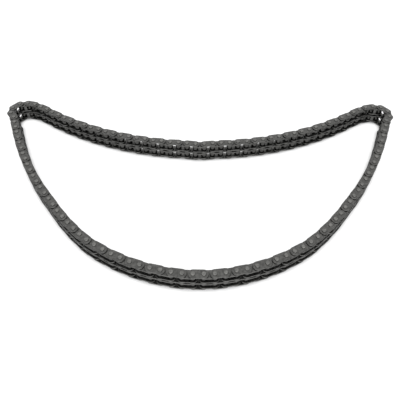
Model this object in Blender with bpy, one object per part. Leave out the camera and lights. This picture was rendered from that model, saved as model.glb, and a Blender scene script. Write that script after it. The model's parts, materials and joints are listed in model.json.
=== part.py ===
"""Duplex roller timing chain, an endless loop lying on its side.

The pins stand upright along Z. The loop is symmetric about the YZ plane, with its
front strand at -Y. Links are numbered round the loop from the middle of the back
strand: inner links are even, outer links are odd.
"""
import bmesh
import bpy
from math import cos, exp, pi, radians, sin
from mathutils import Vector

MM = 0.001

# Chain sizes, for two strands of 9.525 mm pitch
PITCH = 9.525 * MM
STRAND_SPACING = 10.24 * MM
INSIDE_WIDTH = 5.72 * MM
PLATE_DEPTH = 9.0 * MM
INNER_PLATE = 1.30 * MM
OUTER_PLATE = 1.07 * MM
PIN_DIAMETER = 3.28 * MM
PIN_LENGTH = 22.8 * MM
BUSH_DIAMETER = 4.76 * MM
ROLLER_DIAMETER = 6.35 * MM
HEAD_DIAMETER = 4.40 * MM

# Clearances
RUNNING_GAP = 0.15 * MM
SIDE_GAP = 0.15 * MM
PRESSED_GAP = 0.12 * MM

# Shape of the loop: headings in degrees, turning clockwise as seen from above
HALF_LOOP = 61
BACK_TURN = 1.67
BACK_LINKS = 20
SLACK_TURN = 3.0
HORN_HEADINGS = (30.0, 28.0, 14.0, -10.0, -50.0, -91.0, -126.0)
FRONT_SWEEP = 91.5
FRONT_REACH = 23.4
EVEN_FRONT_LINKS = 3

# Runs of links from the middle of the back strand to the front outer link.
# Every second run starts and ends with outer links, and swings with the others
# that carry the same mark.
HALF_RUNS = (
    ("back_bridge", 5, "still"),
    ("back_shoulder", 5, "shoulder"),
    ("back_spacer", 3, "still"),
    ("back_wing", 5, "wing"),
    ("horn_inside", 5, "still"),
    ("horn_tip", 3, "horn"),
    ("horn_outside", 3, "still"),
    ("side_wing", 9, "wing"),
    ("side_spacer", 3, "still"),
    ("front_shoulder", 7, "shoulder"),
    ("front_bridge", 9, "still"),
    ("outer_link", 1, "centre"),
    ("inner_link", 1, "still"),
)

# Facets of the round forms
PIN_SIDES = 10
BUSH_SIDES = 10
ROLLER_SIDES = 12
PLATE_END_SIDES = 5
RUN_PIN_SIDES = 6
RUN_ROLLER_SIDES = 6
RUN_OUTER_END = ((90, 1.0), (150, 1.0), (210, 1.0), (270, 1.0))
RUN_INNER_END = ((90, 1.0), (180, 1.04), (270, 1.0))

# Finish of each kind of piece: colour, metallic, roughness
FINISHES = {
    "plate_steel": ((0.13, 0.125, 0.12), 0.9, 0.36),
    "pin_steel": ((0.20, 0.19, 0.18), 0.9, 0.30),
    "bush_steel": ((0.11, 0.105, 0.10), 0.9, 0.40),
    "roller_steel": ((0.16, 0.155, 0.15), 0.9, 0.28),
}

# Heights along the pin, measured from the plane midway between the strands
STRAND_LEVEL = STRAND_SPACING / 2
INNER_LOW = STRAND_LEVEL - INSIDE_WIDTH / 2
INNER_HIGH = STRAND_LEVEL + INSIDE_WIDTH / 2
INNER_LOW_FACE = INNER_LOW - INNER_PLATE
INNER_HIGH_FACE = INNER_HIGH + INNER_PLATE
OUTER_FACE = INNER_HIGH_FACE + SIDE_GAP
OUTER_BACK = OUTER_FACE + OUTER_PLATE
MIDDLE_FACE = INNER_LOW_FACE - SIDE_GAP
PIN_END = PIN_LENGTH / 2

PIN_RADIUS = PIN_DIAMETER / 2
BUSH_RADIUS = BUSH_DIAMETER / 2
BUSH_BORE_RADIUS = PIN_RADIUS + RUNNING_GAP
ROLLER_RADIUS = ROLLER_DIAMETER / 2
ROLLER_BORE_RADIUS = BUSH_RADIUS + RUNNING_GAP
PLATE_RADIUS = PLATE_DEPTH / 2


def clear_scene():
    for item in list(bpy.data.objects):
        bpy.data.objects.remove(item, do_unlink=True)


def make_finish(name):
    colour, metallic, roughness = FINISHES[name]
    material = bpy.data.materials.new(name)
    material.use_nodes = True
    shader = material.node_tree.nodes["Principled BSDF"]
    shader.inputs["Base Color"].default_value = (*colour, 1.0)
    shader.inputs["Metallic"].default_value = metallic
    shader.inputs["Roughness"].default_value = roughness
    material.diffuse_color = (*colour, 1.0)
    return material


# Layout of the loop

def run_spans():
    """First link, last link and mark of each run on the right half."""
    spans = []
    first = 2
    for name, count, mark in HALF_RUNS:
        spans.append((name, first, first + count - 1, mark))
        first += count
    return spans


def free_headings():
    """Smooth headings of links 0 to 61, before each group is closed."""
    headings = {0: 0.0, HALF_LOOP: -180.0}
    for link in range(1, BACK_LINKS + 1):
        slack = SLACK_TURN if link % 2 == 0 else -SLACK_TURN
        headings[link] = BACK_TURN * link + slack
    for step, heading in enumerate(HORN_HEADINGS):
        headings[BACK_LINKS + 1 + step] = heading
    for link in range(BACK_LINKS + len(HORN_HEADINGS) + 1, HALF_LOOP):
        steps = HALF_LOOP - link
        slack = SLACK_TURN / 2 if link % 2 == 0 else -SLACK_TURN / 2
        if steps < EVEN_FRONT_LINKS:
            slack = 0.0
        headings[link] = -180.0 + FRONT_SWEEP * (1 - exp(-steps / FRONT_REACH)) + slack
    return headings


def close_group(headings, links, turned):
    """Turn some links by one small angle, so that the group's steps along X cancel.

    The left half mirrors the right, so a group whose X steps cancel can swing as
    one and leave the loop closed.
    """
    def drift(turn):
        return sum(cos(radians(headings[n] + (turn if n in turned else 0.0))) for n in links)

    low, high = -20.0, 20.0
    for _ in range(60):
        middle = (low + high) / 2
        if (drift(low) < 0) == (drift(middle) < 0):
            low = middle
        else:
            high = middle
    for link in turned:
        headings[link] += low


def half_headings():
    headings = free_headings()
    spans = run_spans()
    front_outer = HALF_LOOP - 2
    headings[1] = headings[front_outer] + 180.0
    for mark in ("shoulder", "wing", "horn", "still"):
        links = [n for _, first, last, m in spans if m == mark for n in range(first, last + 1)]
        turned = [n for n in links if mark == "horn" or n > BACK_LINKS + len(HORN_HEADINGS)]
        close_group(headings, links, turned)
    return headings


def loop_headings():
    """Headings of every link, in radians, numbered round the whole loop."""
    half = half_headings()
    right = [radians(half[n]) for n in range(HALF_LOOP + 1)]
    left = [-right[n] for n in range(HALF_LOOP - 1, 0, -1)]
    return right + left


def loop_pivots(headings):
    """Pivot n stands between link n and link n + 1."""
    points = [Vector((PITCH / 2, 0.0))]
    for heading in headings[1:]:
        points.append(points[-1] + PITCH * Vector((cos(heading), sin(heading))))
    lowest = min(p.y for p in points) - PLATE_RADIUS
    highest = max(p.y for p in points) + PLATE_RADIUS
    middle = Vector((0.0, (lowest + highest) / 2))
    return [p - middle for p in points]


HEADINGS = loop_headings()
PIVOTS = loop_pivots(HEADINGS)
LINKS = len(HEADINGS)


def pivot(number):
    return PIVOTS[number % LINKS]


def heading(link):
    return HEADINGS[link % LINKS]


def mean_heading(number):
    """Direction halfway between the two links that meet at a pivot."""
    before = heading(number)
    after = heading(number + 1)
    turn = (after - before + pi) % (2 * pi) - pi
    return before + turn / 2


# Outlines, counter-clockwise, in the ground plane

def ring(centre, radius, sides, start=0.0):
    step = 2 * pi / sides
    return [centre + radius * Vector((cos(start + i * step), sin(start + i * step)))
            for i in range(sides)]


def outer_ring(centre, radius, sides, start=0.0):
    """A bore whose flats, not its corners, lie at the radius."""
    return ring(centre, radius / cos(pi / sides), sides, start)


def plate_end(centre, direction, corners):
    """Corners round one end of a plate, each an angle and a share of its radius."""
    return [centre + share * PLATE_RADIUS * Vector((cos(direction + radians(a)), sin(direction + radians(a))))
            for a, share in corners]


def plate_outline(link, corners, shared_start, shared_end):
    """A link plate. Ends that meet the next plate share its corners there."""
    own = heading(link)
    start = mean_heading(link - 1) if shared_start else own
    end = mean_heading(link) if shared_end else own
    opposite = [(a + 180, share) for a, share in corners]
    return plate_end(pivot(link - 1), start, corners) + plate_end(pivot(link), end, opposite)


def round_outline(link):
    step = 180 / PLATE_END_SIDES
    corners = [(90 + step * i, 1.0) for i in range(PLATE_END_SIDES + 1)]
    return plate_outline(link, corners, False, False)


# Solids

def add_prism(mesh, outline, low, high):
    lower = [mesh.verts.new((p.x, p.y, low)) for p in outline]
    upper = [mesh.verts.new((p.x, p.y, high)) for p in outline]
    mesh.faces.new(lower[::-1])
    mesh.faces.new(upper)
    for i, corner in enumerate(lower):
        j = (i + 1) % len(lower)
        mesh.faces.new((corner, lower[j], upper[j], upper[i]))


def add_tube(mesh, outside, inside, low, high):
    count = len(outside)
    rings = [[mesh.verts.new((p.x, p.y, z)) for p in outline]
             for outline, z in ((outside, low), (outside, high), (inside, high), (inside, low))]
    for i in range(count):
        j = (i + 1) % count
        for a, b in zip(rings, rings[1:] + rings[:1]):
            mesh.faces.new((a[i], a[j], b[j], b[i]))


def make_object(name, build):
    """An object whose mesh is filled by the given function."""
    mesh = bmesh.new()
    build(mesh)
    data = bpy.data.meshes.new(name)
    mesh.to_mesh(data)
    mesh.free()
    item = bpy.data.objects.new(name, data)
    bpy.context.scene.collection.objects.link(item)
    return item


def combine(item, build, operation):
    """Unite with, or cut by, the solids that the given function makes."""
    tool = make_object(item.name + "_tool", build)
    modifier = item.modifiers.new("combine", "BOOLEAN")
    modifier.operation = operation
    modifier.solver = "EXACT"
    modifier.object = tool
    depsgraph = bpy.context.evaluated_depsgraph_get()
    data = bpy.data.meshes.new_from_object(item.evaluated_get(depsgraph))
    item.modifiers.remove(modifier)
    item.data = data
    bpy.data.objects.remove(tool)


def both_sides(mesh, outline, low, high):
    """The same plate or roller, above and below the middle plane."""
    add_prism(mesh, outline, low, high)
    add_prism(mesh, outline, -high, -low)


def finish(item, origin, material):
    """Lift the piece to its height, put its origin on the joint axis and paint it."""
    mesh = bmesh.new()
    mesh.from_mesh(item.data)
    bmesh.ops.dissolve_limit(mesh, angle_limit=radians(0.05), verts=mesh.verts, edges=mesh.edges)
    bmesh.ops.translate(mesh, verts=mesh.verts, vec=(-origin.x, -origin.y, 0.0))
    mesh.to_mesh(item.data)
    mesh.free()
    item.data.name = item.name
    item.location = (origin.x, origin.y, PIN_END)
    item.data.materials.clear()
    item.data.materials.append(material)
    item.data.shade_smooth()
    item.data.set_sharp_from_angle(angle=radians(35))
    return item


# Runs of joined links

def make_run(name, first, last, origin_pivot, material, strands=(1, -1)):
    """Links first to last as one piece, riveted up solid between its two ends.

    A run that starts with an outer link carries the free pins at its ends. One that
    starts with an inner link has the bores that such pins turn in.
    """
    carries_pins = first % 2 == 1
    links = range(first, last + 1)
    outer_links = [n for n in links if n % 2 == 1]
    inner_links = [n for n in links if n % 2 == 0]
    ends = (first - 1, last)
    gap = SIDE_GAP if carries_pins else 0.0
    plate_gap = SIDE_GAP - gap

    def outline(link, corners):
        return plate_outline(link, corners, link > first, link < last)

    def inner_plates(mesh):
        for link in inner_links:
            shape = outline(link, RUN_INNER_END)
            for side in strands:
                for low, high in ((INNER_LOW_FACE - gap, INNER_LOW), (INNER_HIGH, INNER_HIGH_FACE + gap)):
                    add_prism(mesh, shape, *sorted((side * low, side * high)))

    def outer_plates(mesh):
        for link in outer_links:
            both_sides(mesh, outline(link, RUN_OUTER_END), OUTER_FACE - plate_gap, OUTER_BACK)
            add_prism(mesh, outline(link, RUN_INNER_END), -MIDDLE_FACE - plate_gap, MIDDLE_FACE + plate_gap)

    def rollers(mesh):
        turned = [n for link in inner_links for n in (link - 1, link)]
        for number in turned:
            shape = ring(pivot(number), ROLLER_RADIUS, RUN_ROLLER_SIDES, mean_heading(number) + pi / 2)
            for side in strands:
                add_prism(mesh, shape, *sorted((side * INNER_LOW, side * INNER_HIGH)))

    def pins(mesh):
        for number in ends:
            direction = heading(number + 1 if number < first else number)
            add_prism(mesh, ring(pivot(number), PIN_RADIUS, RUN_PIN_SIDES, direction), -PIN_END, PIN_END)

    def bores(mesh):
        for number in ends:
            shape = outer_ring(pivot(number), BUSH_BORE_RADIUS, RUN_PIN_SIDES, mean_heading(number))
            add_prism(mesh, shape, -PIN_END, PIN_END)

    if outer_links:
        item = make_object(name, outer_plates)
        if inner_links:
            combine(item, inner_plates, "UNION")
    else:
        item = make_object(name, inner_plates)
    if inner_links:
        combine(item, rollers, "UNION")
    combine(item, pins if carries_pins else bores, "UNION" if carries_pins else "DIFFERENCE")
    return finish(item, pivot(origin_pivot), material)


# Single links, piece by piece

def make_plate(name, link, low, high, bore_radius, material):
    item = make_object(name, lambda mesh: add_prism(mesh, round_outline(link), low, high))

    def bores(mesh):
        for number in (link - 1, link):
            shape = outer_ring(pivot(number), bore_radius, PIN_SIDES, heading(link))
            add_prism(mesh, shape, low - PITCH, high + PITCH)

    combine(item, bores, "DIFFERENCE")
    return finish(item, pivot(link), material)


def make_pin(name, link, number, material):
    """A pin with a riveted head on each end, clear of the outer plates' bores."""
    centre = pivot(number)
    head_low = OUTER_BACK + PRESSED_GAP

    def build(mesh):
        levels = [(PIN_RADIUS, -head_low), (PIN_RADIUS, head_low), (HEAD_DIAMETER / 2, head_low),
                  (HEAD_DIAMETER / 2, (head_low + PIN_END) / 2), (PIN_RADIUS / 2, PIN_END)]
        profile = [(r, -z) for r, z in levels[:1:-1]] + levels
        rows = [[mesh.verts.new((p.x, p.y, z)) for p in ring(centre, r, PIN_SIDES, heading(link))]
                for r, z in profile]
        for lower, upper in zip(rows, rows[1:]):
            for i in range(PIN_SIDES):
                j = (i + 1) % PIN_SIDES
                mesh.faces.new((lower[i], lower[j], upper[j], upper[i]))
        mesh.faces.new(rows[0][::-1])
        mesh.faces.new(rows[-1])

    return finish(make_object(name, build), pivot(link), material)


def make_bush(name, link, number, side, material):
    outside = ring(pivot(number), BUSH_RADIUS, BUSH_SIDES, heading(link))
    inside = outer_ring(pivot(number), BUSH_BORE_RADIUS, BUSH_SIDES, heading(link))
    low, high = sorted((side * INNER_LOW_FACE, side * INNER_HIGH_FACE))
    item = make_object(name, lambda mesh: add_tube(mesh, outside, inside, low, high))
    return finish(item, pivot(link), material)


def make_roller(name, link, number, side, material):
    outside = ring(pivot(number), ROLLER_RADIUS, ROLLER_SIDES, heading(link))
    inside = outer_ring(pivot(number), ROLLER_BORE_RADIUS, ROLLER_SIDES, heading(link))
    low, high = sorted((side * (INNER_LOW + SIDE_GAP), side * (INNER_HIGH - SIDE_GAP)))
    item = make_object(name, lambda mesh: add_tube(mesh, outside, inside, low, high))
    return finish(item, pivot(number), material)


def make_outer_link(name, link, finishes):
    plate = finishes["plate_steel"]
    radius = PIN_RADIUS + PRESSED_GAP
    make_plate(name + "_top_plate", link, OUTER_FACE, OUTER_BACK, radius, plate)
    make_plate(name + "_bottom_plate", link, -OUTER_BACK, -OUTER_FACE, radius, plate)
    make_plate(name + "_middle_plate", link, -MIDDLE_FACE, MIDDLE_FACE, radius, plate)
    make_pin(name + "_right_pin", link, link - 1, finishes["pin_steel"])
    make_pin(name + "_left_pin", link, link, finishes["pin_steel"])


def make_inner_link(name, link, finishes):
    radius = BUSH_RADIUS + PRESSED_GAP
    for strand, side in (("upper", 1), ("lower", -1)):
        for place, low, high in (("near", INNER_LOW_FACE, INNER_LOW), ("far", INNER_HIGH, INNER_HIGH_FACE)):
            low, high = sorted((side * low, side * high))
            title = f"{name}_{strand}_{'middle' if place == 'near' else 'outside'}_plate"
            make_plate(title, link, low, high, radius, finishes["plate_steel"])
        for hand, number in (("right", link - 1), ("left", link)):
            make_bush(f"{name}_{strand}_{hand}_bush", link, number, side, finishes["bush_steel"])
            make_roller(f"{name}_{strand}_{hand}_roller", link, number, side, finishes["roller_steel"])


def build_chain():
    clear_scene()
    finishes = {name: make_finish(name) for name in FINISHES}
    steel = finishes["plate_steel"]
    front = HALF_LOOP
    make_outer_link("front_outer_link", front, finishes)
    make_inner_link("right_inner_link", front - 1, finishes)
    make_outer_link("right_outer_link", front - 2, finishes)
    make_run("left_inner_link_upper", front + 1, front + 1, front, steel, strands=(1,))
    make_run("left_inner_link_lower", front + 1, front + 1, front, steel, strands=(-1,))
    make_run("left_outer_link", front + 2, front + 2, front + 1, steel)
    for name, first, last, _ in run_spans():
        if last >= front - 2:
            continue
        make_run("right_" + name, first, last, last, steel)
        mirror_first, mirror_last = LINKS - last, LINKS - first
        make_run("left_" + name, mirror_first, mirror_last, mirror_first - 1, steel)
    make_run("back_centre", -1, 1, 1, steel)


build_chain()
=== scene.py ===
"""The looks of the duplex timing chain: every plate, pin, bush and roller of the loop."""
import json
from math import cos, exp, pi, radians, sin

import bmesh
import bpy
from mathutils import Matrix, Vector


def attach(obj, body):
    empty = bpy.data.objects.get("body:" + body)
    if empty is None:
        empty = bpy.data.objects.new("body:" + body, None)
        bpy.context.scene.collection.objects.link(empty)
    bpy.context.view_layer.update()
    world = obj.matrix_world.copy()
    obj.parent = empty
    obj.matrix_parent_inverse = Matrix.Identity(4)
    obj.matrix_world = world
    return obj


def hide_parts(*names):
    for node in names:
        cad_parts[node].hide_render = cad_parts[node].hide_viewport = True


MM = 0.001

# Chain sizes, as in the solids
PITCH = 9.525 * MM
STRAND_SPACING = 10.24 * MM
INSIDE_WIDTH = 5.72 * MM
PLATE_DEPTH = 9.0 * MM
INNER_PLATE = 1.30 * MM
OUTER_PLATE = 1.07 * MM
PIN_DIAMETER = 3.28 * MM
PIN_LENGTH = 22.8 * MM
BUSH_DIAMETER = 4.76 * MM
ROLLER_DIAMETER = 6.35 * MM
HEAD_DIAMETER = 4.40 * MM
RUNNING_GAP = 0.15 * MM
SIDE_GAP = 0.15 * MM
PRESSED_GAP = 0.05 * MM
HEAD_GAP = 0.02 * MM

# Rounded edges of the stamped plates and turned pieces
PLATE_EDGE = 0.36 * MM
ROLLER_EDGE = 0.35 * MM

# Edges of a plate steeper than this many degrees stay crisp, so that its faces stay flat
PLATE_CREASE = 40

# A round piece's edges steeper than this many degrees stay crisp
ROUND_CREASE = 50

# The riveted pin head from its rim to its top: share of its radius, share of its rise
HEAD_PROFILE = ((1.0, 0.0), (1.0, 0.5), (0.92, 0.8), (0.7, 0.95), (0.3, 1.0))

# Facets of the repeated pieces
PLATE_END_SIDES = 9
PIN_SIDES = 14
BUSH_SIDES = 12
ROLLER_SIDES = 18

# Shape of the loop, as in the solids
HALF_LOOP = 61
BACK_TURN = 1.67
BACK_LINKS = 20
SLACK_TURN = 3.0
HORN_HEADINGS = (30.0, 28.0, 14.0, -10.0, -50.0, -91.0, -126.0)
FRONT_SWEEP = 91.5
FRONT_REACH = 23.4
EVEN_FRONT_LINKS = 3
HALF_RUNS = (
    ("back_bridge", 5, "still"),
    ("back_shoulder", 5, "shoulder"),
    ("back_spacer", 3, "still"),
    ("back_wing", 5, "wing"),
    ("horn_inside", 5, "still"),
    ("horn_tip", 3, "horn"),
    ("horn_outside", 3, "still"),
    ("side_wing", 9, "wing"),
    ("side_spacer", 3, "still"),
    ("front_shoulder", 7, "shoulder"),
    ("front_bridge", 9, "still"),
    ("outer_link", 1, "centre"),
    ("inner_link", 1, "still"),
)

# The steels: dark and light colour, roughness where oiled and dry, and fineness of the clouds
FINISHES = {
    "plate": ((0.060, 0.060, 0.0577), (0.101, 0.100, 0.096), (0.28, 0.44), 420.0),
    "pin": ((0.10, 0.10, 0.096), (0.17, 0.168, 0.16), (0.26, 0.40), 600.0),
    # Painted shade: the bush steel is made far darker than the other steels so that the windows
    # between the plates, where the bushes sit, read dark
    "bush": ((0.015, 0.0145, 0.014), (0.03, 0.029, 0.0275), (0.30, 0.44), 420.0),
    "roller": ((0.055, 0.055, 0.053), (0.092, 0.091, 0.0875), (0.16, 0.26), 500.0),
}
CLOUD_EDGES = (0.35, 0.68)
FILM_EDGES = (0.3, 0.7)
FILM_TO_CLOUD = 0.6
CLOUD_DETAIL = 4.0
FINE_DETAIL = 2.0
GRAIN = 2600.0
GRAIN_STRENGTH = 0.25
GRAIN_DEPTH = 0.04 * MM

# Angle within which a group of links is turned to close the loop, and the halvings to find it
CLOSING_RANGE = 20.0
CLOSING_STEPS = 60

# Inputs of the node tree that strings the pieces, and levels nearer than this count as one
STRING_INPUTS = {
    "Geometry": "Geometry",
    "Piece": "Object",
    "Level": "Float",
    "Second level": "Float",
    "Sway": "Float",
    "Seed": "Int",
    "Finish": "Material",
}
SAME_LEVEL = 0.01 * MM

# Heights from the plane midway between the strands
STRAND_LEVEL = STRAND_SPACING / 2
INNER_LOW = STRAND_LEVEL - INSIDE_WIDTH / 2
INNER_HIGH = STRAND_LEVEL + INSIDE_WIDTH / 2
OUTER_FACE = INNER_HIGH + INNER_PLATE + SIDE_GAP
OUTER_BACK = OUTER_FACE + OUTER_PLATE
MIDDLE_FACE = INNER_LOW - INNER_PLATE - SIDE_GAP
PIN_END = PIN_LENGTH / 2

# Part of the floor's white that shadows don't reach, and how near the chain a painted contact
# shadow darkens it
FLOOR_GLOW = 0.93
PAINTED_SHADOW_REACH = 4.5 * MM
PAINTED_SHADOW_SAMPLES = 16

# Distances from the chain's middle between which the floor turns wholly white, and its size
FLOOR_WHITENS = (0.35, 1.3)
FLOOR_SIZE = 12.0
FLOOR_GREY = (0.4, 0.4, 0.4, 1.0)
FLOOR_ROUGHNESS = 0.9
FLOOR_GLOSS = 0.1
WHITE = (1.0, 1.0, 1.0, 1.0)

# Share of the studio walls' white that lights dull surfaces: camera and mirrored rays see it all
STUDIO_LIGHT = 0.13

# The studio's lamps: place, size and watts, both aimed at the middle of the floor
LAMPS = {
    "overhead": ((0.0, 0.4, 1.2), 2.5, 10.0),
    "front_softbox": ((0.0, -1.1, 0.7), 1.7, 14.0),
}

# The photograph's view: 400 x 400 pixels
PHOTO_SIZE = 400
FOCAL_PIXELS = 412.8
CAMERA_TILT = 50.61
CAMERA_ROLL = 0.57
CAMERA_OVER_PINS = 312.7 * MM
CAMERA_TO_BACK_STRAND = 338.0 * MM
CAMERA_SIDEWAYS = 0.8 * MM
SENSOR_WIDTH = 36.0

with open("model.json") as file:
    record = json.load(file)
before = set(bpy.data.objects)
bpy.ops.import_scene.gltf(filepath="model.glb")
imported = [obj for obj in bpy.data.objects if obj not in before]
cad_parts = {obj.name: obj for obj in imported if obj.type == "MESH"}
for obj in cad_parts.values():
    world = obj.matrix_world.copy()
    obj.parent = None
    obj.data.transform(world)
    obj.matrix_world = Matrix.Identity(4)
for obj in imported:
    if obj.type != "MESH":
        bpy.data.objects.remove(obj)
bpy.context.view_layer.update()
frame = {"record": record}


# Layout of the loop, as in the solids

def run_spans():
    spans = []
    first = 2
    for name, count, mark in HALF_RUNS:
        spans.append((name, first, first + count - 1, mark))
        first += count
    return spans


def free_headings():
    headings = {0: 0.0, HALF_LOOP: -180.0}
    for link in range(1, BACK_LINKS + 1):
        slack = SLACK_TURN if link % 2 == 0 else -SLACK_TURN
        headings[link] = BACK_TURN * link + slack
    for step, heading in enumerate(HORN_HEADINGS):
        headings[BACK_LINKS + 1 + step] = heading
    for link in range(BACK_LINKS + len(HORN_HEADINGS) + 1, HALF_LOOP):
        steps = HALF_LOOP - link
        slack = SLACK_TURN / 2 if link % 2 == 0 else -SLACK_TURN / 2
        if steps < EVEN_FRONT_LINKS:
            slack = 0.0
        headings[link] = -180.0 + FRONT_SWEEP * (1 - exp(-steps / FRONT_REACH)) + slack
    return headings


def close_group(headings, links, turned):
    def drift(turn):
        return sum(cos(radians(headings[n] + (turn if n in turned else 0.0))) for n in links)

    low, high = -CLOSING_RANGE, CLOSING_RANGE
    for _ in range(CLOSING_STEPS):
        middle = (low + high) / 2
        if (drift(low) < 0) == (drift(middle) < 0):
            low = middle
        else:
            high = middle
    for link in turned:
        headings[link] += low


def half_headings():
    headings = free_headings()
    spans = run_spans()
    headings[1] = headings[HALF_LOOP - 2] + 180.0
    for mark in ("shoulder", "wing", "horn", "still"):
        links = [n for _, first, last, m in spans if m == mark for n in range(first, last + 1)]
        turned = [n for n in links if mark == "horn" or n > BACK_LINKS + len(HORN_HEADINGS)]
        close_group(headings, links, turned)
    return headings


def loop_headings():
    half = half_headings()
    right = [radians(half[n]) for n in range(HALF_LOOP + 1)]
    left = [-right[n] for n in range(HALF_LOOP - 1, 0, -1)]
    return right + left


def loop_pivots(headings):
    points = [Vector((PITCH / 2, 0.0, 0.0))]
    for heading in headings[1:]:
        points.append(points[-1] + PITCH * Vector((cos(heading), sin(heading), 0.0)))
    lowest = min(p.y for p in points) - PLATE_DEPTH / 2
    highest = max(p.y for p in points) + PLATE_DEPTH / 2
    middle = Vector((0.0, (lowest + highest) / 2, -PIN_END))
    return [p - middle for p in points]


HEADINGS = loop_headings()
PIVOTS = loop_pivots(HEADINGS)
LINKS = len(HEADINGS)


def pivot(number):
    return PIVOTS[number % LINKS]


def heading(link):
    return HEADINGS[link % LINKS]


def body_spans():
    """Each body of the loop with its first and last link."""
    front = HALF_LOOP
    bodies = {"back_centre": (-1, 1), "front_outer_link": (front, front)}
    for name, first, last, _ in run_spans():
        bodies["right_" + name] = (first, last)
        bodies["left_" + name] = (LINKS - last, LINKS - first)
    return bodies


# Template pieces, each upright at the origin with its length along X

def circle(radius, sides, centre=0.0):
    step = 2 * pi / sides
    return [(centre + radius * cos(i * step), radius * sin(i * step)) for i in range(sides)]


def plate_outline(inset):
    """An obround round two pins: straight sides and round ends."""
    radius = PLATE_DEPTH / 2 - inset
    points = []
    for centre, start in ((-PITCH / 2, pi / 2), (PITCH / 2, -pi / 2)):
        for i in range(PLATE_END_SIDES + 1):
            angle = start + pi * i / PLATE_END_SIDES
            points.append((centre + radius * cos(angle), radius * sin(angle)))
    return points


def add_ring(mesh, outline, z):
    return [mesh.verts.new((x, y, z)) for x, y in outline]


def join_rings(mesh, lower, upper):
    for i, corner in enumerate(lower):
        j = (i + 1) % len(lower)
        mesh.faces.new((corner, lower[j], upper[j], upper[i]))


def close_with_holes(mesh, outside, holes):
    edges = []
    for ring in [outside] + holes:
        edges += [mesh.edges.get(ends) for ends in zip(ring, ring[1:] + ring[:1])]
    bmesh.ops.triangle_fill(mesh, use_beauty=True, edges=edges)


def finish_template(name, mesh, crease):
    bmesh.ops.recalc_face_normals(mesh, faces=mesh.faces)
    data = bpy.data.meshes.new(name)
    mesh.to_mesh(data)
    mesh.free()
    data.shade_smooth()
    data.set_sharp_from_angle(angle=radians(crease))
    item = bpy.data.objects.new(name, data)
    bpy.context.scene.collection.objects.link(item)
    return item


def plate_template(name, thickness, bore_radius):
    """A stamped side plate with broken edges and a bore round each pin."""
    mesh = bmesh.new()
    half = thickness / 2
    edge = PLATE_EDGE
    levels = ((-half, edge), (edge - half, 0.0), (half - edge, 0.0), (half, edge))
    rings = [add_ring(mesh, plate_outline(inset), z) for z, inset in levels]
    for lower, upper in zip(rings, rings[1:]):
        join_rings(mesh, lower, upper)
    bores = []
    for centre in (-PITCH / 2, PITCH / 2):
        lower = add_ring(mesh, circle(bore_radius, PIN_SIDES, centre), -half)
        upper = add_ring(mesh, circle(bore_radius, PIN_SIDES, centre), half)
        join_rings(mesh, upper, lower)
        bores.append((lower, upper))
    close_with_holes(mesh, rings[0], [lower for lower, _ in bores])
    close_with_holes(mesh, rings[-1], [upper for _, upper in bores])
    return finish_template(name, mesh, PLATE_CREASE)


def turned_template(name, profile, sides, hollow):
    """A round piece: rings of (radius, height), capped, or closed on itself where hollow."""
    mesh = bmesh.new()
    rings = [add_ring(mesh, circle(radius, sides), z) for radius, z in profile]
    pairs = list(zip(rings, rings[1:]))
    if hollow:
        pairs.append((rings[-1], rings[0]))
    for lower, upper in pairs:
        join_rings(mesh, lower, upper)
    if not hollow:
        mesh.faces.new(rings[0][::-1])
        mesh.faces.new(rings[-1])
    return finish_template(name, mesh, ROUND_CREASE)


def pin_template():
    """A pin whose ends are riveted over the outer plates as low domes."""
    radius, head = PIN_DIAMETER / 2, HEAD_DIAMETER / 2
    low = OUTER_BACK + HEAD_GAP
    rise = PIN_END - low
    upper = [(radius, low)]
    upper += [(width * head, low + height * rise) for width, height in HEAD_PROFILE]
    return turned_template("pin", [(r, -z) for r, z in upper[::-1]] + upper, PIN_SIDES, False)


def bush_template():
    outside, inside = BUSH_DIAMETER / 2, PIN_DIAMETER / 2 + RUNNING_GAP
    half = INSIDE_WIDTH / 2 + INNER_PLATE
    profile = [(outside, -half), (outside, half), (inside, half), (inside, -half)]
    return turned_template("bush", profile, BUSH_SIDES, True)


def roller_template():
    outside, inside = ROLLER_DIAMETER / 2, BUSH_DIAMETER / 2 + RUNNING_GAP
    half = INSIDE_WIDTH / 2 - SIDE_GAP
    edge = ROLLER_EDGE
    profile = [(inside, -half), (outside - edge, -half), (outside, edge - half),
               (outside, half - edge), (outside - edge, half), (inside, half)]
    return turned_template("roller", profile, ROLLER_SIDES, True)


# Materials

def add_node(nodes, kind, **values):
    node = nodes.new(kind)
    for key, value in values.items():
        setattr(node, key, value)
    return node


class Shade:
    """Short ways to add nodes to a material."""

    def __init__(self, name):
        self.material = bpy.data.materials.new(name)
        self.material.use_nodes = True
        self.nodes = self.material.node_tree.nodes
        self.links = self.material.node_tree.links
        self.shader = self.nodes["Principled BSDF"]
        self.place = self.add("ShaderNodeTexCoord").outputs["Object"]

    def add(self, kind, **values):
        return add_node(self.nodes, kind, **values)

    def noise(self, scale, detail):
        texture = self.add("ShaderNodeTexNoise")
        texture.inputs["Scale"].default_value = scale
        texture.inputs["Detail"].default_value = detail
        self.links.new(self.place, texture.inputs["Vector"])
        return texture.outputs["Fac"]

    def ramp(self, factor, stops):
        """Runs between two stops, each a position and a colour."""
        node = self.add("ShaderNodeValToRGB")
        elements = node.color_ramp.elements
        for element, (position, colour) in zip(elements, stops):
            element.position = position
            element.color = (*colour, 1.0)
        self.links.new(factor, node.inputs["Fac"])
        return node.outputs["Color"]

    def bump(self, height, strength, distance):
        node = self.add("ShaderNodeBump")
        node.inputs["Strength"].default_value = strength
        node.inputs["Distance"].default_value = distance
        self.links.new(height, node.inputs["Height"])
        self.links.new(node.outputs["Normal"], self.shader.inputs["Normal"])

    def join(self, output, socket):
        self.links.new(output, self.shader.inputs[socket])


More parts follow.
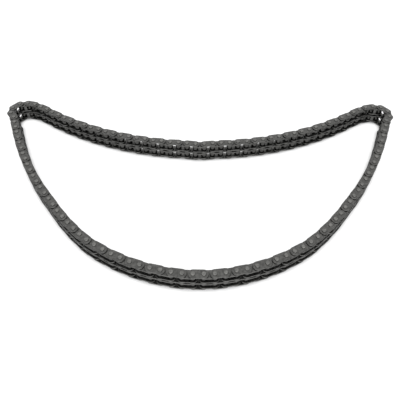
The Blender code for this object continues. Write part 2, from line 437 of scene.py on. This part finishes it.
def steel(name, dark, light, rough, mottle):
    """Dark oiled steel: cloudy colour, uneven oil film and a fine ground texture."""
    shade = Shade(name)
    shade.shader.inputs["Metallic"].default_value = 1.0
    clouds = shade.noise(mottle, CLOUD_DETAIL)
    shade.join(shade.ramp(clouds, zip(CLOUD_EDGES, (dark, light))), "Base Color")
    film = shade.noise(mottle * FILM_TO_CLOUD, FINE_DETAIL)
    shade.join(shade.ramp(film, zip(FILM_EDGES, [(value,) * 3 for value in rough])), "Roughness")
    shade.bump(shade.noise(GRAIN, FINE_DETAIL), GRAIN_STRENGTH, GRAIN_DEPTH)
    return shade.material


def make_materials():
    return {name: steel(name + "_steel", *values) for name, values in FINISHES.items()}


# Geometry node tree that strings the pieces on the loop

def string_tree():
    """Puts a template piece on each point, turned to its link, on one or both levels."""
    tree = bpy.data.node_groups.new("pieces_on_the_loop", "GeometryNodeTree")
    for name, kind in STRING_INPUTS.items():
        tree.interface.new_socket(name, in_out="INPUT", socket_type="NodeSocket" + kind)
    tree.interface.new_socket("Geometry", in_out="OUTPUT", socket_type="NodeSocketGeometry")
    nodes, links = tree.nodes, tree.links

    def add(kind, **values):
        return add_node(nodes, kind, **values)

    source = add("NodeGroupInput")
    result = add("NodeGroupOutput")
    piece = add("GeometryNodeObjectInfo")
    links.new(source.outputs["Piece"], piece.inputs["Object"])
    turn = add("GeometryNodeInputNamedAttribute", data_type="FLOAT")
    turn.inputs["Name"].default_value = "turn"
    wobble = add("FunctionNodeRandomValue", data_type="FLOAT")
    links.new(source.outputs["Seed"], wobble.inputs["Seed"])
    negative = add("ShaderNodeMath", operation="MULTIPLY")
    negative.inputs[1].default_value = -1.0
    links.new(source.outputs["Sway"], negative.inputs[0])
    floats = [s for s in wobble.inputs if s.type == "VALUE" and s.name in ("Min", "Max")]
    links.new(negative.outputs[0], floats[0])
    links.new(source.outputs["Sway"], floats[1])
    values = [s for s in wobble.outputs if s.type == "VALUE"]
    total = add("ShaderNodeMath", operation="ADD")
    links.new(turn.outputs["Attribute"], total.inputs[0])
    links.new(values[0], total.inputs[1])
    rotation = add("ShaderNodeCombineXYZ")
    links.new(total.outputs[0], rotation.inputs["Z"])
    wanted = add("FunctionNodeCompare", data_type="FLOAT", operation="NOT_EQUAL")
    compared = [s for s in wanted.inputs if s.type == "VALUE"]
    links.new(source.outputs["Level"], compared[0])
    links.new(source.outputs["Second level"], compared[1])
    compared[2].default_value = SAME_LEVEL
    both = add("GeometryNodeJoinGeometry")
    for level in ("Level", "Second level"):
        lift = add("ShaderNodeCombineXYZ")
        links.new(source.outputs[level], lift.inputs["Z"])
        shift = add("GeometryNodeSetPosition")
        links.new(source.outputs["Geometry"], shift.inputs["Geometry"])
        links.new(lift.outputs["Vector"], shift.inputs["Offset"])
        placed = add("GeometryNodeInstanceOnPoints")
        links.new(shift.outputs["Geometry"], placed.inputs["Points"])
        links.new(piece.outputs["Geometry"], placed.inputs["Instance"])
        links.new(rotation.outputs["Vector"], placed.inputs["Rotation"])
        if level == "Second level":
            links.new(wanted.outputs["Result"], placed.inputs["Selection"])
        links.new(placed.outputs["Instances"], both.inputs["Geometry"])
    real = add("GeometryNodeRealizeInstances")
    links.new(both.outputs["Geometry"], real.inputs["Geometry"])
    painted = add("GeometryNodeSetMaterial")
    links.new(real.outputs["Geometry"], painted.inputs["Geometry"])
    links.new(source.outputs["Finish"], painted.inputs["Material"])
    links.new(painted.outputs["Geometry"], result.inputs["Geometry"])
    return tree


def string_pieces(tree, points, values):
    """A mesh of the tree's pieces on the given points, each a place and a turn."""
    data = bpy.data.meshes.new("points")
    data.from_pydata([place for place, _ in points], [], [])
    attribute = data.attributes.new("turn", "FLOAT", "POINT")
    attribute.data.foreach_set("value", [turn for _, turn in points])
    carrier = bpy.data.objects.new("points", data)
    bpy.context.scene.collection.objects.link(carrier)
    modifier = carrier.modifiers.new("string", "NODES")
    modifier.node_group = tree
    for socket in tree.interface.items_tree:
        if socket.in_out == "INPUT" and socket.name in values:
            modifier[socket.identifier] = values[socket.name]
    depsgraph = bpy.context.evaluated_depsgraph_get()
    mesh = bpy.data.meshes.new_from_object(carrier.evaluated_get(depsgraph))
    bpy.data.objects.remove(carrier)
    return mesh


def join_meshes(name, meshes, finish):
    """One object of several meshes that share a material."""
    joined = bmesh.new()
    for mesh in meshes:
        joined.from_mesh(mesh)
    data = bpy.data.meshes.new(name)
    joined.to_mesh(data)
    joined.free()
    data.materials.append(finish)
    data.polygons.foreach_set("material_index", [0] * len(data.polygons))
    for attribute in [a for a in data.attributes if a.name == "turn"]:
        data.attributes.remove(attribute)
    item = bpy.data.objects.new(name, data)
    bpy.context.scene.collection.objects.link(item)
    return item


class Stringer:
    """Makes the pieces of each body from the templates."""

    def __init__(self):
        press = PIN_DIAMETER / 2 + PRESSED_GAP
        seat = BUSH_DIAMETER / 2 + PRESSED_GAP
        self.templates = {
            "outer_plate": plate_template("outer_plate", OUTER_PLATE, press),
            "middle_plate": plate_template("middle_plate", 2 * MIDDLE_FACE, press),
            "inner_plate": plate_template("inner_plate", INNER_PLATE, seat),
            "pin": pin_template(),
            "bush": bush_template(),
            "roller": roller_template(),
        }
        self.tree = string_tree()
        self.materials = make_materials()

    def string(self, kind, points, level, second, sway=0.0, seed=1):
        finish = self.materials["plate" if kind.endswith("plate") else kind]
        values = {"Piece": self.templates[kind], "Level": level, "Second level": second,
                  "Sway": sway, "Seed": seed, "Finish": finish}
        return string_pieces(self.tree, points, values)

    def clear(self):
        for item in self.templates.values():
            bpy.data.objects.remove(item)


def link_points(first, last, odd):
    """The middle and heading of each outer link, where odd, or each inner link."""
    chosen = [n for n in range(first, last + 1) if n % 2 == odd]
    return [((pivot(n - 1) + pivot(n)) / 2, heading(n)) for n in chosen]


def pin_points(first, last, odd):
    """The two pivots of each outer link, where odd, or each inner link, turned with it."""
    chosen = [n for n in range(first, last + 1) if n % 2 == odd]
    return [(pivot(k), heading(n)) for n in chosen for k in (n - 1, n)]


def dress(piece, body, nodes):
    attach(piece, body)
    if nodes:
        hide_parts(*nodes)


def dress_body(stringer, body, first, last):
    """All pieces of one body: its plates, pins, bushes and rollers."""
    nodes = frame["record"]["behaviour"]["bodies"][body]
    outer, inner = link_points(first, last, 1), link_points(first, last, 0)
    plates = []
    if outer:
        middle = (OUTER_FACE + OUTER_BACK) / 2
        plates.append(stringer.string("outer_plate", outer, middle, -middle))
        plates.append(stringer.string("middle_plate", outer, 0.0, 0.0))
    if inner:
        for face in (INNER_LOW - INNER_PLATE / 2, INNER_HIGH + INNER_PLATE / 2):
            plates.append(stringer.string("inner_plate", inner, face, -face))
    finishes = stringer.materials
    plates = join_meshes(body + "_side_plates", plates, finishes["plate"])
    # The plates stand for the whole solid, where a body's pieces aren't solids of their own
    joined = first != last or body.startswith("left_")
    replaced = [n for n in nodes if joined or n.endswith("_plate")]
    dress(plates, body, replaced)
    if outer:
        pins = [stringer.string("pin", pin_points(first, last, 1), 0.0, 0.0)]
        replaced = [n for n in nodes if n.endswith("_pin")]
        dress(join_meshes(body + "_pins", pins, finishes["pin"]), body, replaced)
    if inner:
        seats = pin_points(first, last, 0)
        bushes = [stringer.string("bush", seats, STRAND_LEVEL, -STRAND_LEVEL)]
        replaced = [n for n in nodes if n.endswith("_bush")]
        dress(join_meshes(body + "_bushes", bushes, finishes["bush"]), body, replaced)
        if body != "right_inner_link":
            seed = first + LINKS
            rollers = [stringer.string("roller", seats, STRAND_LEVEL, -STRAND_LEVEL, pi, seed)]
            rollers = join_meshes(body + "_rollers", rollers, finishes["roller"])
            dress(rollers, body, [])


def dress_free_rollers(stringer):
    """The four rollers that spin on the right inner link, each a body of its own."""
    link = HALF_LOOP - 1
    for strand, level in (("upper", STRAND_LEVEL), ("lower", -STRAND_LEVEL)):
        for hand, number in (("right", link - 1), ("left", link)):
            body = f"right_inner_link_{strand}_{hand}_roller"
            mesh = stringer.string("roller", [(pivot(number), heading(link))], level, level)
            name = f"free_{strand}_{hand}_roller"
            roller = join_meshes(name, [mesh], stringer.materials["roller"])
            dress(roller, body, [body])


# Stage, light and camera

def background_rays(nodes, links):
    """1 for rays that see the background: straight from the camera, mirrored or through glass."""
    path = nodes.new("ShaderNodeLightPath")
    seen = path.outputs["Is Camera Ray"]
    for kind in ("Is Glossy Ray", "Is Transmission Ray"):
        either = add_node(nodes, "ShaderNodeMath", operation="MAXIMUM")
        links.new(seen, either.inputs[0])
        links.new(path.outputs[kind], either.inputs[1])
        seen = either.outputs["Value"]
    return seen


def make_floor():
    bpy.ops.mesh.primitive_plane_add(size=FLOOR_SIZE)
    floor = bpy.context.active_object
    floor.name = "floor"
    shade = Shade("white_paper")
    shade.shader.inputs["Base Color"].default_value = FLOOR_GREY
    shade.shader.inputs["Emission Color"].default_value = WHITE
    distance = shade.add("ShaderNodeVectorMath", operation="LENGTH")
    shade.links.new(shade.place, distance.inputs[0])
    whiten = shade.add("ShaderNodeMapRange")
    whiten.inputs["From Min"].default_value = FLOOR_WHITENS[0]
    whiten.inputs["From Max"].default_value = FLOOR_WHITENS[1]
    whiten.inputs["To Min"].default_value = FLOOR_GLOW
    whiten.inputs["To Max"].default_value = 1.0
    shade.links.new(distance.outputs["Value"], whiten.inputs["Value"])
    glow = shade.add("ShaderNodeMath", operation="MULTIPLY")
    shade.links.new(background_rays(shade.nodes, shade.links), glow.inputs[0])
    shade.links.new(whiten.outputs["Result"], glow.inputs[1])
    # Painted contact shadow: ambient occlusion darkens the floor's glow close to the chain, not
    # shadow cast by the lamps
    painted_contact_shadow = shade.add("ShaderNodeAmbientOcclusion", samples=PAINTED_SHADOW_SAMPLES)
    painted_contact_shadow.inputs["Distance"].default_value = PAINTED_SHADOW_REACH
    glow_with_painted_shadow = shade.add("ShaderNodeMath", operation="MULTIPLY")
    shade.links.new(glow.outputs[0], glow_with_painted_shadow.inputs[0])
    shade.links.new(painted_contact_shadow.outputs["AO"], glow_with_painted_shadow.inputs[1])
    shade.join(glow_with_painted_shadow.outputs[0], "Emission Strength")
    shade.shader.inputs["Roughness"].default_value = FLOOR_ROUGHNESS
    shade.shader.inputs["Specular IOR Level"].default_value = FLOOR_GLOSS
    floor.data.materials.append(shade.material)


def make_world():
    world = bpy.data.worlds.new("studio")
    bpy.context.scene.world = world
    world.use_nodes = True
    nodes, links = world.node_tree.nodes, world.node_tree.links
    background = nodes["Background"]
    background.inputs["Color"].default_value = WHITE
    strength = nodes.new("ShaderNodeMapRange")
    strength.inputs["To Min"].default_value = STUDIO_LIGHT
    strength.inputs["To Max"].default_value = 1.0
    links.new(background_rays(nodes, links), strength.inputs["Value"])
    links.new(strength.outputs["Result"], background.inputs["Strength"])


def add_area_light(name, place, size, watts):
    data = bpy.data.lights.new(name, "AREA")
    data.size = size
    data.energy = watts
    lamp = bpy.data.objects.new(name, data)
    lamp.location = place
    lamp.rotation_euler = (-Vector(place)).to_track_quat("-Z", "Y").to_euler()
    bpy.context.scene.collection.objects.link(lamp)


def make_camera():
    data = bpy.data.cameras.new("camera")
    data.sensor_width = SENSOR_WIDTH
    data.lens = SENSOR_WIDTH * FOCAL_PIXELS / PHOTO_SIZE
    camera = bpy.data.objects.new("camera", data)
    y = pivot(0).y - CAMERA_TO_BACK_STRAND
    camera.location = (CAMERA_SIDEWAYS, y, PIN_LENGTH + CAMERA_OVER_PINS)
    camera.rotation_mode = "ZYX"
    camera.rotation_euler = (radians(90 - CAMERA_TILT), 0.0, radians(CAMERA_ROLL))
    bpy.context.scene.collection.objects.link(camera)
    bpy.context.scene.camera = camera


stringer = Stringer()
for body, (first, last) in body_spans().items():
    dress_body(stringer, body, first, last)
dress_free_rollers(stringer)
stringer.clear()
make_floor()
make_world()
for name, (place, size, watts) in LAMPS.items():
    add_area_light(name, place, size, watts)
make_camera()
bpy.context.scene.view_settings.view_transform = "Standard"
